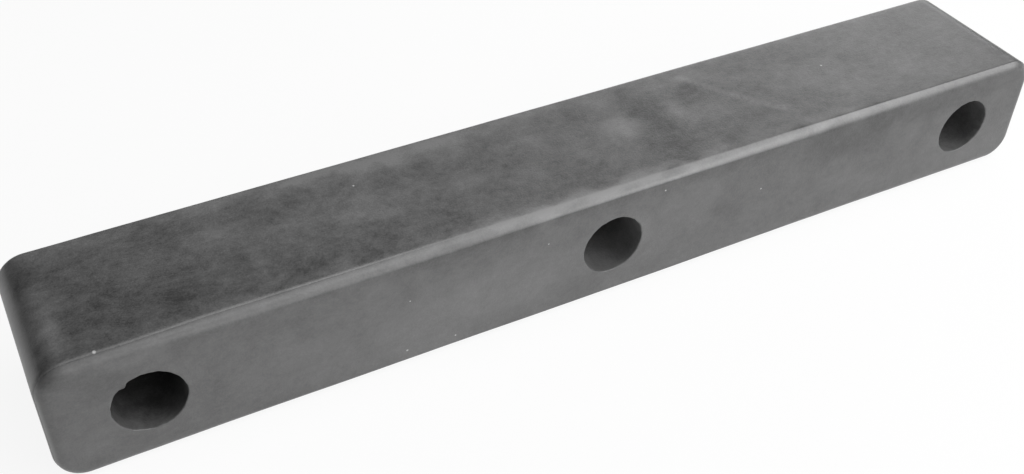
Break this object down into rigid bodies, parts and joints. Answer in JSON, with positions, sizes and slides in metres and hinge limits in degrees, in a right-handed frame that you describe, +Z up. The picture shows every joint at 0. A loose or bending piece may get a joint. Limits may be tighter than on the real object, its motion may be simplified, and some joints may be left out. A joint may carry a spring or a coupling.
{
  "type": "rubber stop",
  "caption": "Solid moulded rubber bar that stops vehicles or gates, with a row of stepped bolt holes through its struck face.",
  "frame": {"origin": "middle of the underside", "axes": "+X along the bar, +Y from the struck face towards the seat that meets the wall, +Z up from the underside to the top"},
  "size_m": [0.5, 0.075, 0.06],
  "materials": {
    "rubber": "semi-matte moulded black rubber with a faint grey bloom"
  },
  "bodies": {
    "root": {"stop_block": "rubber"}
  },
  "joints": []
}
